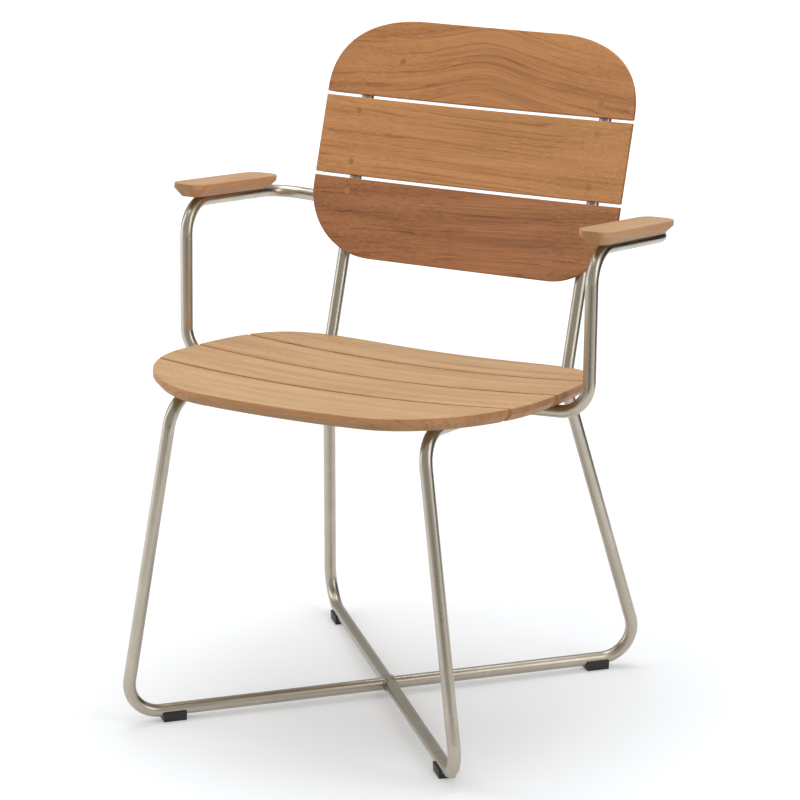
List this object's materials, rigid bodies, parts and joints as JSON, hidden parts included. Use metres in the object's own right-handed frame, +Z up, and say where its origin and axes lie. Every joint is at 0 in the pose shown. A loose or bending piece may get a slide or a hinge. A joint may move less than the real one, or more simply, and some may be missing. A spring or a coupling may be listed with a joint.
{
  "type": "armchair",
  "caption": "Outdoor dining armchair: teak slat seat, slat back and armrests on a bent stainless tube frame with crossed floor bars.",
  "frame": {"origin": "on the floor, below the middle of the chair's overall width and depth", "axes": "+Z up, the chair's front faces -Y, +X to the right as seen from the front"},
  "size_m": [0.6184, 0.5546, 0.8186],
  "materials": {
    "teak_seat": "oiled teak, light",
    "teak_armrest": "oiled teak, light",
    "teak_back": "oiled teak, reddish brown",
    "teak_plug": "oiled teak end grain",
    "satin_stainless": "satin brushed",
    "screw_steel": "plain",
    "black_plastic": "moulded, matte"
  },
  "bodies": {
    "root": {"base_tube_long": "satin_stainless", "base_tube_front": "satin_stainless", "base_tube_rear": "satin_stainless", "back_tube": "satin_stainless", "arm_tube_right": "satin_stainless", "arm_tube_left": "satin_stainless", "weld_beads": "satin_stainless", "back_screws": "screw_steel", "seat_screws": "screw_steel", "armrest_screws": "screw_steel", "seat_slat_front": "teak_seat", "seat_slat_front_middle": "teak_seat", "seat_slat_rear_middle": "teak_seat", "seat_slat_rear": "teak_seat", "armrest_right": "teak_armrest", "armrest_left": "teak_armrest", "back_slat_bottom": "teak_back", "back_slat_middle": "teak_back", "back_slat_top": "teak_back", "back_plugs": "teak_plug", "foot_front_left": "black_plastic", "foot_front_right": "black_plastic", "foot_rear_left": "black_plastic", "foot_rear_right": "black_plastic"}
  },
  "joints": []
}
